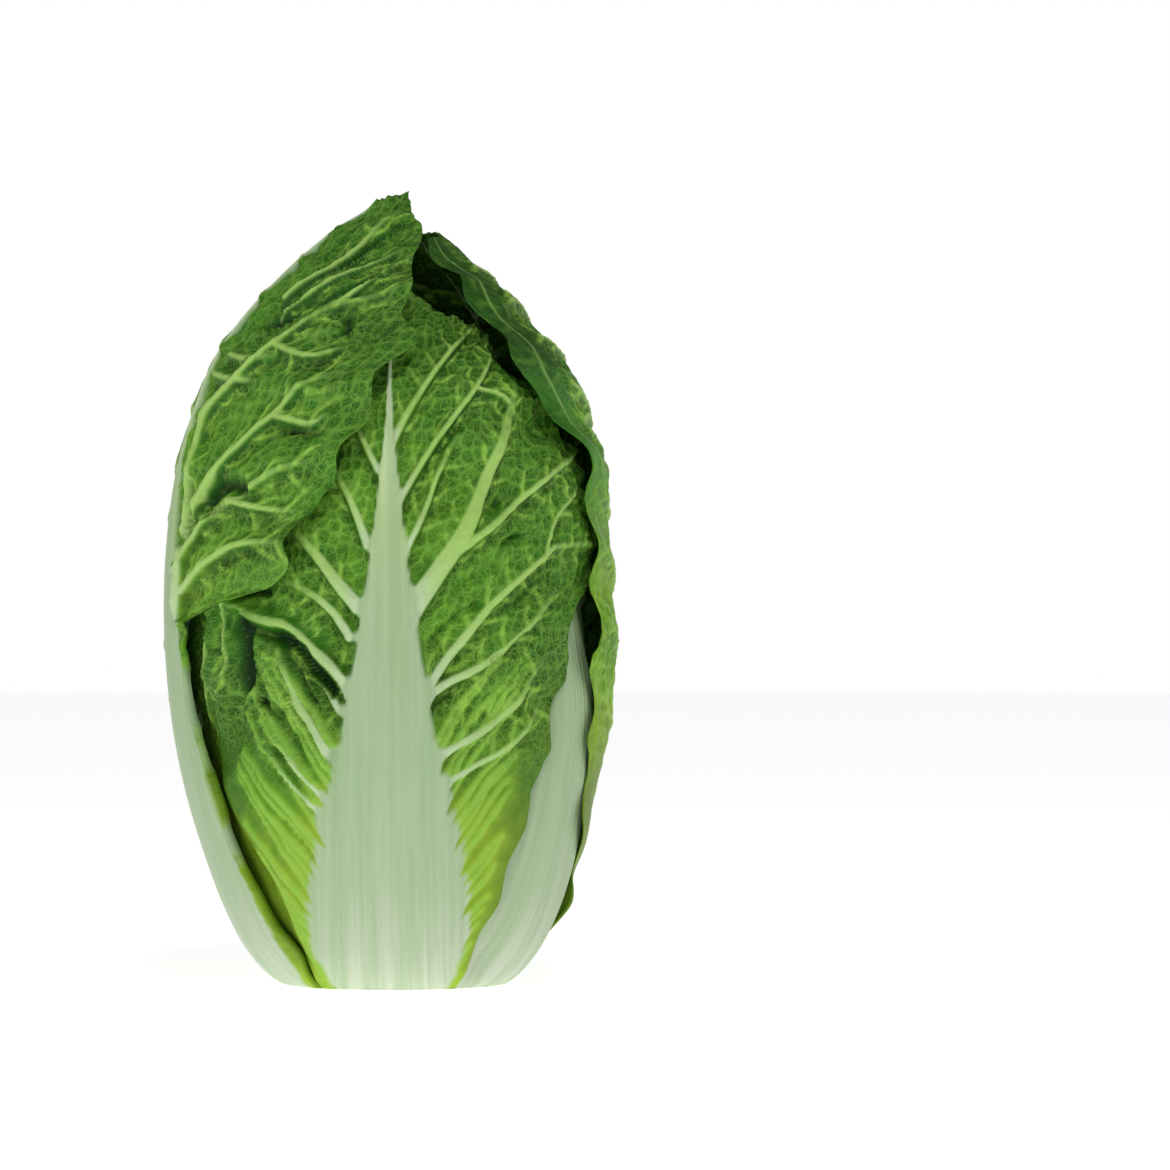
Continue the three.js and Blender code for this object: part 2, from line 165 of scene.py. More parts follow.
# Each side of a leaf as in the frame: margin is the angle to its edge by height. tuck sinks the low
# flank: from which angle, to which, how deep, and how much further out that lies higher up. lift
# raises the edge and drop shortens the side at the top. frill is the height of the small ruffles
# along the edge, ragged how uneven it is, relief how strong the veins and pits are. Of the leaf,
# tone is its green from 0, yellow green, to 1, dark, sink and tipSink press it in, ribWide widens
# the midrib, and feathersTo is how far up the close low veins reach.
wrapperLeaves = {
    "left": {
        "azimuth": -75, "order": 0, "top": 350, "columns": 118, "rows": 150, "seed": 11, "tipSink": 3.5,
        "tone": [[0, 0.05], [80, 0.3], [140, 0.36], [180, 0.52], [230, 0.7], [300, 0.85]],
        "left": {
            "tuck": [14, 32, 2], "lift": [[0, 0], [80, 0], [160, 2.4], [300, 1.5]], "drop": 30,
            "frill": 1.2, "relief": 0.35,
            "margin": [[0, 35], [31, 39], [69, 44], [107, 52], [150, 66], [190, 80], [240, 94], [280, 100],
                [300, 100]],
        },
        "right": {
            "tuck": [14, 32, 1], "drop": -3, "climb": 0.3, "frill": 1.8, "ragged": 1.6,
            "margin": [[0, 34], [9, 34], [16, 32], [31, 26], [46, 21], [58, 18], [72, 16.6], [92, 13],
                [104, 10], [135, 10], [141, 14], [145, 30], [149, 43], [174, 56], [190, 61], [208, 65],
                [222, 72], [238, 80], [257, 84], [280, 95], [291, 110], [300, 135]],
            "lift": [[0, 0], [135, 0], [155, 4.5], [230, 3.6], [285, 1.6], [300, 0]],
        },
    },
    "right_back": {
        "azimuth": 142, "order": 1, "top": 338, "columns": 110, "rows": 132, "seed": 12,
        "tone": [[0, 0.1], [60, 0.06], [120, 0.1], [170, 0.25], [200, 0.5], [240, 0.75], [280, 0.95]],
        "left": {
            "tuck": [14, 32, 1.2], "drop": 8, "frill": 0.4, "ragged": 0.3, "relief": 0.6,
            "margin": [[0, 39], [5, 39], [20, 42], [32, 48], [42, 61], [54, 70], [88, 74], [107, 75],
                [160, 75], [190, 76], [201, 79], [212, 88], [231, 98], [246, 101], [257, 105], [270, 108],
                [280, 108], [300, 96]],
            "lift": [[0, 0], [20, 2.2], [33, 4.6], [52, 4], [75, 2.6], [90, 1.4], [150, 1], [180, 2],
                [205, 5], [240, 5.4], [275, 3], [300, 1]],
        },
        "right": {
            "tuck": [14, 32, 1.5], "lift": nothing, "drop": 20, "frill": 0.8,
            "margin": [[0, 35], [5, 35], [31, 38], [69, 43], [107, 50], [150, 64], [200, 84], [240, 95],
                [300, 96]],
        },
    },
    "front": {
        "azimuth": 0, "order": 2, "top": 308, "columns": 100, "rows": 160, "seed": 13, "feathersTo": 118,
        "tone": [[0, 0], [40, 0.14], [62, 0.34], [95, 0.52], [130, 0.56], [190, 0.58], [260, 0.74]],
        "left": {
            "tuck": [30, 46, 6.5, 22], "drop": 22, "frill": 1.2,
            "margin": [[0, 38], [5, 38], [9, 42], [20, 51], [31, 58], [50, 64], [69, 68], [85, 78],
                [100, 84], [132, 84], [142, 74], [152, 63], [190, 62], [230, 56], [300, 40]],
            "lift": [[0, 0], [70, 0], [104, 2], [128, 2.5], [144, 0], [300, 0]],
        },
        "right": {
            "tuck": [14, 32, 2], "drop": 26, "frill": 1.2,
            "margin": [[0, 33], [9, 34], [31, 38], [69, 45], [107, 52], [125, 57], [143, 63], [156, 76],
                [190, 80], [215, 71], [240, 57], [300, 40]],
            "lift": [[0, 0], [60, 0], [95, 1.4], [125, 0.6], [150, 0], [190, -1], [201, -3.5], [215, -7],
                [240, -9], [300, -6]],
        },
    },
    "left_back": {
        "azimuth": -146, "order": 3, "top": 292, "columns": 84, "rows": 116, "seed": 14,
        "tone": [[0, 0], [60, 0.1], [110, 0.35], [180, 0.45], [260, 0.55]],
        "left": {
            "tuck": [10, 26, 6.5], "lift": nothing, "drop": 26, "frill": 0.6,
            "margin": [[0, 35], [5, 35], [31, 42], [69, 52], [107, 60], [150, 72], [200, 80], [240, 76],
                [300, 60]],
        },
        "right": {
            "tuck": [10, 26, 6.5], "lift": nothing, "drop": 26, "frill": 0.6,
            "margin": [[0, 35], [5, 35], [31, 42], [69, 50], [107, 58], [150, 70], [200, 78], [240, 74],
                [300, 60]],
        },
    },
    "right": {
        "azimuth": 67, "order": 4, "top": 284, "columns": 78, "rows": 112, "seed": 15,
        "ribWide": [[0, 1.3], [80, 1.4], [110, 2.2], [150, 3], [200, 3], [300, 2]],
        "sink": [[0, 0], [90, 0], [125, 0.8], [150, 2], [200, 4.5], [300, 6]],
        "tone": [[0, 0], [60, 0.08], [110, 0.3], [180, 0.42], [260, 0.5]],
        "left": {
            "tuck": [8, 26, 6.8], "drop": 24, "frill": 0.6,
            "margin": [[0, 32.5], [5, 32.5], [31, 36], [69, 42], [107, 50], [150, 62], [200, 72], [240, 66],
                [300, 50]],
            "lift": [[0, 0], [175, 0], [201, -6], [215, -7], [240, -7], [300, -5]],
        },
        "right": {
            "tuck": [9, 23, 6.8], "lift": nothing, "drop": 24, "frill": 0.6,
            "margin": [[0, 34.5], [5, 34.5], [31, 37], [69, 43], [107, 52], [150, 64], [200, 74], [240, 66],
                [300, 50]],
        },
    },
}

innerLeaves = {
    "names": ["left", "right_back", "front", "left_back", "right"],
    "firstAzimuth": -82, "turn": -144, "firstTop": 258, "topStep": 5,
    "margin": [[0, 33], [20, 33], [45, 38], [80, 50], [130, 68], [180, 82], [250, 84]],
    "tucks": [[0.6, 0.6], [0.6, 0.6], [5.5, 1.5], [6.5, 6.5], [7, 7]],
    "tone": [[0, 0], [250, 0.8]],
    "columns": 36, "rows": 50,
}

heartLeaves = {
    "count": 6, "firstAzimuth": 20, "turn": 137.5, "firstTop": 226, "topStep": 3,
    "margin": [[0, 40], [150, 46], [210, 58], [240, 66]],
    "tone": [[0, 0], [150, 0.2], [225, 0.8]],
    "columns": 24, "rows": 30,
}

wrapperWhorl = {
    "line": Profile(head["profile"]), "gap": wrapperGap, "tuckShare": tuckShare, "start": 0,
    "thickness": ribThickness, "bulge": ribBulge, "climb": 1, "wave": 0.6, "ribScale": 1, "veinSpacing": 24,
    "relief": 1,
}
innerWhorl = {
    "line": Profile(head["innerProfile"]), "gap": innerGap, "tuckShare": innerTuckShare, "start": 0,
    "thickness": lambda z: 0.5 * ribThickness(z) + 0.4, "bulge": lambda z: 0 * z,
    "climb": 0.6, "wave": 0.25, "ribScale": 0.85, "veinSpacing": 20, "relief": 0.45,
}
heartWhorl = {
    "line": Profile(head["heartProfile"]), "gap": lambda z: 0.9 + 0 * z, "tuckShare": lambda z: 0 * z,
    "start": 150, "thickness": lambda z: 1.2 + 0 * z, "bulge": lambda z: 0 * z,
    "climb": 0, "wave": 0.4, "ribScale": 1, "rise": heartTipRise, "veinSpacing": 16, "relief": 0.5,
}


# Veins

# The main side veins that show from the front: the width where each starts and where it ends, and
# its [distance right of the axis, height] points. The rest follow a rule.
seenVeins = {
    ("front", "right"): [
        ([2.4, 1], [[0, 201], [9, 220], [22.6, 244], [30, 256]]),
        ([2, 0.9], [[3, 180], [17, 205], [30, 225], [36, 240], [35, 252]]),
        ([1.3, 1], [[30, 225], [40, 222], [46, 214]]),
        ([8, 2.4], [[7.5, 140], [17, 154], [28, 172.6], [37.7, 197], [42.6, 214], [44, 228]]),
        ([2.6, 1.3], [[22.6, 161], [39.6, 174.5], [58.4, 193], [71.6, 206]]),
        ([1.8, 1], [[5, 160], [14, 180], [18, 192], [24, 206]]),
        ([3.2, 1], [[13, 110], [26, 129], [39.6, 146], [56.5, 161], [62, 165], [76, 166]]),
        ([1.5, 1], [[56.5, 161], [60, 175], [68, 188]]),
        ([2.8, 1.2], [[14, 109], [26, 116], [41.5, 125.5], [52.8, 137], [62, 149]]),
        ([2.5, 1.2], [[19.6, 88], [35.8, 97], [47, 107], [56.5, 122]]),
        ([1.8, 1], [[18, 76], [34, 84], [47, 93], [58, 107]]),
    ],
    ("front", "left"): [
        ([2, 1], [[-3.8, 193], [-9.4, 205], [-12.4, 212]]),
        ([3, 1.6], [[-7.5, 165], [-13, 180], [-19, 192]]),
        ([5, 2.2], [[-11, 142], [-19, 152], [-27.5, 163], [-36, 172]]),
        ([3.2, 1.4], [[-14, 131], [-17.3, 136.2], [-21.3, 141.6], [-28, 147], [-39, 152.3]]),
        ([3.6, 3], [[-15, 111], [-19.3, 118], [-25.3, 124.7], [-31.4, 131.5], [-37.5, 135.5], [-43, 136.4],
            [-51, 139], [-56.3, 142.2]]),
        ([2.2, 1], [[-18, 104], [-21.3, 108.6], [-24.7, 114], [-30, 122], [-35, 130]]),
        ([2.6, 1.2], [[-20, 87], [-22.7, 91.1], [-28, 99.2], [-34, 108.6], [-38.8, 120.7], [-42.2, 130.8]]),
        ([0.9, 0.9], [[-58.5, 144], [-61, 139], [-59.7, 127], [-59, 119.5], [-62, 115]]),
        ([1.1, 0.9], [[-68, 131], [-69.1, 123.4], [-70.4, 114], [-70.4, 105], [-72, 97]]),
        ([2, 1], [[-22, 70], [-28, 76.3], [-36, 86.4], [-42.2, 93.8]]),
        ([2, 1], [[-24, 64], [-28, 68.9], [-38, 79.7], [-44.2, 89.8]]),
    ],
    ("left", "right"): [
        ([4.8, 1.4], [[-79.1, 136.8], [-74.6, 182], [-69, 212.2], [-58.4, 225.4], [-39.6, 240.5],
            [-24.5, 249.9], [1.9, 257.4]]),
        ([3.8, 1.2], [[-77.3, 170.7], [-67.8, 185.8], [-58.4, 197.1], [-43.3, 212.2], [-30.2, 221.6],
            [-18.8, 227.3]]),
        ([1.8, 1], [[-41.5, 212], [-28.3, 208.4], [-22.6, 212.2]]),
        ([3.2, 1.1], [[-79.1, 155.7], [-71.6, 170.7], [-60.3, 180.2], [-54.7, 182], [-39.6, 191.5],
            [-26.4, 195.2]]),
        ([1.8, 1], [[-58, 181], [-46, 178], [-34, 177]]),
        ([2.6, 1.2], [[-77.3, 148.1], [-67.8, 157.5], [-58.4, 164], [-46, 166], [-35.8, 165.1]]),
        ([1.5, 1], [[-66, 228.8], [-58, 226], [-49, 226.5]]),
        ([1.5, 1], [[-60.3, 236], [-52, 233.5], [-42.6, 234]]),
        ([1.6, 1], [[-43.3, 239], [-30.2, 233.5], [-16, 237]]),
        ([1.6, 1], [[-24.5, 249.9], [-11.3, 257.4], [5.7, 271.7]]),
        ([2.4, 1.2], [[-47.1, 246.1], [-20.7, 261.2], [3.8, 274.4]]),
        ([2.4, 1.2], [[-39.6, 257.4], [-17, 272.5], [1.9, 289.5]]),
    ],
}


# Turns points seen from the front into places on a leaf: mm across from its midrib, mm along.
def fromFront(leaf, whorl, points):
    x, z = np.array(points, float).T
    s = whorl["line"].alongAt(z)
    depth = leaf["order"] * whorl["gap"](z)
    radius = whorl["line"].radius(s)
    azimuth = np.degrees(np.arcsin(np.clip(x / np.maximum(radius - depth, 1), -0.995, 0.995)))
    return np.column_stack((np.radians(azimuth - leaf["azimuth"]) * radius, s))


# From where to where, in mm across, the vein that starts at a place along the midrib may run: from
# a share of the rib's half width to a share of the way to the margin, as it is a rise higher up.
def veinRoom(leaf, whorl, sideName, start, rise, ribShare, marginShare):
    z, radius = whorl["line"].height(start), whorl["line"].radius(start)
    inner = math.radians(ribHalfAngle(z) * whorl["ribScale"]) * radius * ribShare
    margin = through(leaf[sideName]["margin"])(min(z + rise, 298))
    return inner, math.radians(margin) * radius * marginShare


# Side veins by rule: each leaves the midrib's edge, bends up towards the margin and forks.
def ruledVeins(leaf, whorl, sideName):
    rng = np.random.default_rng(leaf["seed"] * 10 + (sideName == "left"))
    sign = -1 if sideName == "left" else 1
    veins = []
    start = whorl["start"] + 62 * whorl["climb"] + 10 * rng.random()
    while start < leaf["top"] - 34:
        inner, outer = veinRoom(leaf, whorl, sideName, start, 30, 0.85, 0.96)
        climb = 0.55 * (outer - inner) * (1 - 0.45 * start / leaf["top"]) + 6 * rng.random()
        t = np.linspace(0, 1, 7)
        sway = 1.8 * rng.uniform(-1, 1, 7) * t
        points = np.column_stack((
            sign * (inner + (outer - inner) * t), start + climb * t ** (0.8 + 0.5 * rng.random()) + sway,
        ))
        width = 4.2 - 2.2 * start / leaf["top"]
        veins.append((points, [width, 1]))
        fork = points[3 + rng.integers(0, 2)]
        rise = (14 + 10 * rng.random()) * rng.choice([-0.4, 1])
        reach = np.array([sign * (outer - abs(fork[0])) * 0.6, rise])
        bend = fork + reach * [0.5, 0.35]
        veins.append((np.array([fork, bend, fork + reach]), [width * 0.5, 0.9]))
        start += whorl["veinSpacing"] * rng.uniform(0.8, 1.2)
    return veins


# The close side veins of the low wings, which leave the rib like the barbs of a feather.
def featherVeins(leaf, whorl, sideName):
    rng = np.random.default_rng(leaf["seed"] * 10 + 5 + (sideName == "left"))
    sign = -1 if sideName == "left" else 1
    veins = []
    start = 2 + 4 * rng.random()
    while start < leaf.get("feathersTo", 84) * whorl["climb"]:
        inner, outer = veinRoom(leaf, whorl, sideName, start, 14, 0.86, 0.97)
        reach = min((outer - inner) * rng.uniform(0.85, 1), 40)
        t = np.linspace(0, 1, 5)
        steepness = rng.uniform(1, 1.35)
        points = np.column_stack((
            sign * (inner + reach * t),
            start + reach * steepness * t ** 0.9 + 1.3 * rng.uniform(-1, 1, 5) * t,
        ))
        veins.append((points, [rng.uniform(1.3, 2), 0.8]))
        start += rng.uniform(3.8, 6.6)
    return veins


# The thin veins that leave the side veins on alternate sides, bent towards the margin.
def twigVeins(leaf, veins):
    rng = np.random.default_rng(leaf["seed"] * 10 + 7)
    twigs = []
    for places, _ in veins:
        steps = np.hypot(*np.diff(places, axis=0).T)
        if steps.sum() < 18:
            continue
        run = np.concatenate(([0], np.cumsum(steps)))
        at = rng.uniform(5, 9)
        turn = rng.choice([-1, 1])
        while at < run[-1] - 3:
            foot, ahead = (np.array([np.interp(d, run, row) for row in places.T]) for d in (at, at + 4))
            heading = math.atan2(*(ahead - foot)[::-1]) + turn * rng.uniform(0.65, 1.1)
            bend = -turn * rng.uniform(0.1, 0.55)
            points = [foot]
            for _ in range(4):
                stride = rng.uniform(2.4, 3.8)
                points.append(points[-1] + stride * np.array([math.cos(heading), math.sin(heading)]))
                heading += bend * rng.uniform(0, 1) + 0.25 * rng.uniform(-1, 1)
            twigs.append((np.array(points), [rng.uniform(1, 1.5), 0.5]))
            at += rng.uniform(4.5, 8)
            turn = -turn
    return twigs


# A line through places as the x and the y of points close together, so many to each stretch.
def finePath(places, pieces):
    knots = np.arange(len(places))
    fine = np.linspace(0, len(places) - 1, pieces * (len(places) - 1) + 1)
    return [through(np.column_stack((knots, row)))(fine) for row in places.T]


# For each place: how far it is outside the nearest vein's edge, how high the vein stands there,
# how near any vein is, as a share that fades over the reach, and how clear the vein is, which
# fades towards its end.
def veinField(across, along, veins, reach=14):
    gap = np.full(across.shape, 6.0)
    height = np.zeros(across.shape)
    shoulder = np.zeros(across.shape)
    clear = np.zeros(across.shape)
    for places, width in veins:
        xs, ys = finePath(places, 4)
        halves = np.linspace(*width, len(xs)) / 2
        near = (across > xs.min() - reach) & (across < xs.max() + reach)
        near &= (along > ys.min() - reach) & (along < ys.max() + reach)
        px, py = across[near], along[near]
        best = np.full(px.shape, 99.0)
        half = np.full(px.shape, 1.0)
        way = np.zeros(px.shape)
        for i in range(len(xs) - 1):
            dx, dy = xs[i + 1] - xs[i], ys[i + 1] - ys[i]
            t = np.clip(((px - xs[i]) * dx + (py - ys[i]) * dy) / (dx * dx + dy * dy + 1e-9), 0, 1)
            distance = np.hypot(px - xs[i] - dx * t, py - ys[i] - dy * t)
            closer = distance < best
            best = np.where(closer, distance, best)
            half = np.where(closer, halves[i] + (halves[i + 1] - halves[i]) * t, half)
            way = np.where(closer, (i + t) / (len(xs) - 1), way)
        nearer = best - half < gap[near]
        clear[near] = np.where(nearer, 1 - 0.8 * ease(0.55, 1, way), clear[near])
        gap[near] = np.where(nearer, best - half, gap[near])
        height[near] = np.maximum(height[near], np.exp(-(best / (1.15 * half)) ** 2) * (0.3 + 0.5 * half))
        size = np.minimum(1, 0.45 + 0.3 * half)
        shoulder[near] = np.maximum(shoulder[near], np.exp(-(best / (3.5 + 1.5 * half)) ** 2) * size)
    return gap, height, shoulder, clear


# Leaves

# One side of a leaf at a fine pitch. t runs from 0 at the midrib to 1 at the edge.
def leafSide(leaf, whorl, sideName, t, v):
    side = leaf[sideName]
    line, start = whorl["line"], whorl["start"]
    isLeft = sideName == "left"
    climb = whorl["climb"] * side.get("climb", 1) * veinClimb(v)
    atEdge = np.minimum(start + (leaf["top"] - side["drop"] - start) * v + climb, line.length)
    edgeHeight = line.height(atEdge)
    out = (t ** 1.12) ** (1 / crowding(edgeHeight))
    onMidrib = start + (leaf["top"] - side["drop"] * out ** 2.4 - start) * v
    s = np.minimum(onMidrib + climb * out ** 1.5, line.length)
    z = line.height(s)
    lobeTurns = atEdge / head["marginLobeLength"]
    lobe = 1 + head["marginLobe"] * out ** 4 * np.sin(2 * np.pi * lobeTurns + leaf["order"])
    flatEdge = atEdge + 0 * t
    raggedness = hills(flatEdge, 0 * t, 13, leaf["seed"] + 40 + isLeft)
    edgeAngle = through(side["margin"])(edgeHeight)
    onBlade = ease(40, 90, edgeHeight) * ease(1.3, 2.2, edgeAngle / ribHalfAngle(edgeHeight))
    lobe = lobe + 0.03 * side.get("ragged", 1) * out ** 10 * raggedness * onBlade
    angle = edgeAngle * lobe * out ** crowding(edgeHeight)
    beyond = angle / (head["ribFlank"] * ribHalfAngle(z) * whorl["ribScale"])
    rib = np.maximum(0, 1 - beyond ** 2)
    tuckFrom, tuckTo, tuckDepth, tuckShift = (side["tuck"] + [0])[:4]
    pastTuck = ease(tuckFrom, tuckTo, angle - tuckShift * ease(25, 78, z))
    turns = atEdge / head["marginWaveLength"] + 0.37 * leaf["order"] + (0.5 if isLeft else 0)
    wave = np.sin(2 * np.pi * turns)
    frill = hills(flatEdge, 5 + 0 * t, 9, leaf["seed"] + 60 + isLeft)
    frill = frill + 0.7 * hills(flatEdge, 9 + 0 * t, 5, leaf["seed"] + 62 + isLeft)
    depth = leaf["order"] * whorl["gap"](z)
    depth += whorl["tuckShare"](z) * tuckDepth * pastTuck
    depth -= whorl["bulge"](z) * rib
    depth -= through(side["lift"])(edgeHeight) * out ** 3 * (0.6 + 0.4 * wave)
    depth -= whorl["wave"] * out ** 3 * wave * ease(120, 170, z)
    calm = 1 - 0.7 * ease(280, 292, edgeHeight)
    depth -= side["frill"] * out ** 9 * frill * onBlade * calm
    depth += leaf.get("tipSink", 0) * ease(282, 300, z)
    if "sink" in leaf:
        depth += through(leaf["sink"])(z)
    if "rise" in whorl:
        depth -= whorl["rise"](z)
    thickness = head["blade"] + (whorl["thickness"](z) - head["blade"]) * rib ** 1.5
    thickness = thickness * (1 - 0.55 * ease(0.96, 1, out) * ease(1.2, 1.6, beyond))
    sign = -1 if isLeft else 1
    return {
        "s": s, "z": z, "angle": sign * angle, "depth": depth, "thickness": thickness, "out": out + 0 * z,
        "beyond": beyond, "across": sign * np.radians(angle) * line.radius(s), "along": s,
        "sideRelief": side.get("relief", 1) + 0 * z,
        "tucked": pastTuck * whorl["tuckShare"](z) * tuckDepth / head["deepestTuck"],
    }


def place(line, azimuth, angle, s, depth):
    nr, nz = line.normal(s)
    radius = line.radius(s) - depth * nr
    turn = np.radians(azimuth + angle)
    return np.stack((
        radius * np.sin(turn), -radius * np.cos(turn) * flattening,
        np.maximum(line.height(s) - depth * nz, 0),
    ), axis=-1)


# Folds as seen from the front: the height of each, below 0 for a hollow, its half width, and its
# line of [distance right of the axis, height] points. The front leaf's are those of its crumpled
# lower left, and of the panels at its right.
frontFolds = [
    # the curled strip at the far left and the netted lobe under it
    (4.1, 3.8, [[-58.3, 146], [-64.4, 142.9], [-66.2, 136.9], [-65.4, 128.8], [-63.7, 122],
        [-66.4, 116.7]]),
    (2.7, 4, [[-61.7, 109], [-61.7, 102], [-63.7, 96.5]]),
    (-3.1, 1.8, [[-72.5, 144], [-73.8, 138], [-71.8, 131], [-71.4, 122]]),
    (-2.2, 1.3, [[-68.8, 113], [-69.1, 95]]),
    # the dark cavity in the middle and the crease under the leaf above
    (-8.1, 3.2, [[-55.4, 137], [-54.6, 128], [-53.8, 119.4], [-53.4, 113]]),
    (-3.1, 2.2, [[-54, 134.5], [-47, 132.5], [-43, 131.5]]),
    (-5, 2.2, [[-71, 147], [-61.7, 148.3], [-53.6, 147.6], [-45.5, 146.5]]),
    # the thick fold that sweeps down to the rib, with the deep shadow under it
    (3.4, 3, [[-56.3, 142.2], [-51, 139.3], [-43, 137.2], [-37.5, 136.3], [-31.4, 132.5], [-25, 125.5],
        [-19, 118.5]]),
    (-6.2, 2, [[-41, 131.5], [-36, 129.5], [-30.5, 124], [-25, 116.5], [-20.5, 110.5]]),
    # the fan of folds between that and the low wing
    (3, 2.8, [[-45.5, 124.5], [-45.5, 116.7], [-41.5, 110], [-34.8, 102.6], [-28, 93.1], [-23, 85.7]]),
    (-3.4, 1.8, [[-39, 128.5], [-35.8, 120], [-31.6, 112], [-26.4, 104.6]]),
    (1.5, 2, [[-29.4, 115], [-27, 110]]),
    (-5.6, 2.1, [[-49.4, 106], [-46, 105.7]]),
    (-2.5, 1.5, [[-45, 103.5], [-41.5, 99.5], [-36, 92.6], [-31.2, 86]]),
    (1.7, 1.6, [[-48, 99], [-42.2, 95], [-36, 88], [-28, 77.5]]),
    (-1.7, 1.3, [[-41.5, 88.5], [-33.5, 78.8], [-27.4, 72.6]]),
    (1.4, 1.5, [[-47, 93], [-43, 88], [-36, 79.5], [-28.5, 69.5]]),
    (-1.9, 1.4, [[-45, 86.5], [-35.5, 74.5], [-26.5, 64.5]]),
    (-1.2, 1.4, [[-55, 73], [-45.5, 61.5]]),
    (-1.5, 1.4, [[-38, 63.5], [-28.7, 50.8]]),
    # creases in the panels at the right
    (-2.8, 1.6, [[42, 165], [46, 167.5], [50, 168.5]]),
    (-2.8, 2.2, [[44, 141], [49, 144], [54, 149.5], [57, 152]]),
    (-2.1, 2, [[38, 178], [41, 182], [45, 186]]),
    (-2.8, 2, [[53, 213], [57, 209]]),
    (-2.1, 2, [[8.5, 153], [14, 158]]),
    (-2.4, 1.5, [[17, 130], [24, 137.5], [32, 143]]),
    (-2.1, 1.5, [[38, 123], [44, 126.5], [49, 131]]),
    (-2.4, 1.7, [[17, 104.5], [23, 109.5]]),
    (-1.8, 1.8, [[26, 148], [34, 156], [41, 161]]),
    (-1.8, 2, [[9, 196], [14, 204], [20, 212]]),
]

# The left leaf's: creases above and below its side veins, and the long ones up to the tip.
leftFolds = [
    (-4.5, 1.3, [[-48, 247.4], [-41, 248], [-35.6, 249.9]]),
    (-4, 1.2, [[-52, 235], [-47, 239.5], [-41, 243]]),
    (-4.5, 1.9, [[-17.5, 243], [-16, 246], [-15.2, 249.5]]),
    (-3, 1.4, [[-27, 231], [-22, 232.5], [-18, 235.5]]),
    (-4.5, 3, [[-68, 181], [-61, 186], [-53, 185.5]]),
    (-3.5, 1.8, [[-70, 175.5], [-61.7, 178.5]]),
    (-3.5, 1.7, [[-73.3, 188], [-74.2, 178], [-77.1, 166.5]]),
    (-3.6, 1.6, [[-36, 207], [-31, 205.5], [-26, 205]]),
    (-3, 1.7, [[-57, 223.5], [-50, 228], [-42, 233]]),
    (-2.6, 2, [[-55, 195], [-45, 203], [-37, 207]]),
    (-3, 2, [[-62, 158], [-52, 161], [-44, 160]]),
    (-3.5, 1.4, [[-26, 274], [-19, 280.5], [-11, 287]]),
    (-3, 1.3, [[-47, 246.5], [-40, 251.5], [-34, 255]]),
    (-4, 1.4, [[-33, 258], [-20, 264.5], [-5, 272]]),
    (-4, 1.5, [[-27, 253], [-12, 259.5], [4, 268]]),
    (-3.4, 1.3, [[-20, 269], [-8, 277], [2, 284]]),
    (-3, 1.3, [[-40, 259], [-31, 266], [-24, 270.5]]),
    (-3, 1.8, [[-10, 239], [-3, 242], [3, 247]]),
    (2.4, 3, [[-37, 224], [-28, 221], [-20, 223]]),
    (2.4, 3, [[-30, 186], [-24, 183], [-20, 178]]),
    (-3, 2, [[-40, 171], [-33, 173], [-27, 178]]),
]
# "dark" says from which depth to which a fold falls in shadow.
foldSets = {
    "front": {"folds": frontFolds, "dark": [0.8, 4.6]},
    "left": {"folds": leftFolds, "dark": [1, 5]},
}


def foldHeight(folds, leaf, whorl, across, along):
    total = np.zeros(across.shape)
    wobbleX = across + 1.1 * hills(across, along, 6, 91)
    wobbleY = along + 1.1 * hills(across, along, 6, 92)
    for height, half, points in folds:
        best = np.full(across.shape, 99.0)
        for x, y in zip(*finePath(fromFront(leaf, whorl, points), 5)):
            best = np.minimum(best, np.hypot(wobbleX - x, wobbleY - y))
        total += height * np.exp(-(best / half) ** 2)
    return total


# How steeply the relief rises or falls at each point of a leaf's grid.
def slopeOf(relief, across, along):
    overColumns = np.gradient(relief, axis=1) / np.maximum(np.abs(np.gradient(across, axis=1)), 0.3)
    overRows = np.gradient(relief, axis=0) / np.maximum(np.abs(np.gradient(along, axis=0)), 0.3)
    return np.hypot(overColumns, overRows)


# The relief of a blade, in mm: the cells of its net and the wider ones over them, how deep their
# pits are, the hills as [apart, high], and how high each kind of vein and the swell beside it is.
crinkle = {
    "cell": 4.9, "wideCell": 10.5, "pit": 1.5, "hills": [[24, 2.2], [11, 1.8]],
    "swell": 2.2, "sunk": 0.6, "hollow": 2, "hollowBelow": 3.6,
    "twig": 0.5, "twigSwell": 0.8, "feather": 1.7, "featherSwell": 1.4, "featherSunk": 1.2,
    "deepestAtEdge": 1.4, "deeperInside": 6,      # so the edge stays clear of the leaf inside it
}


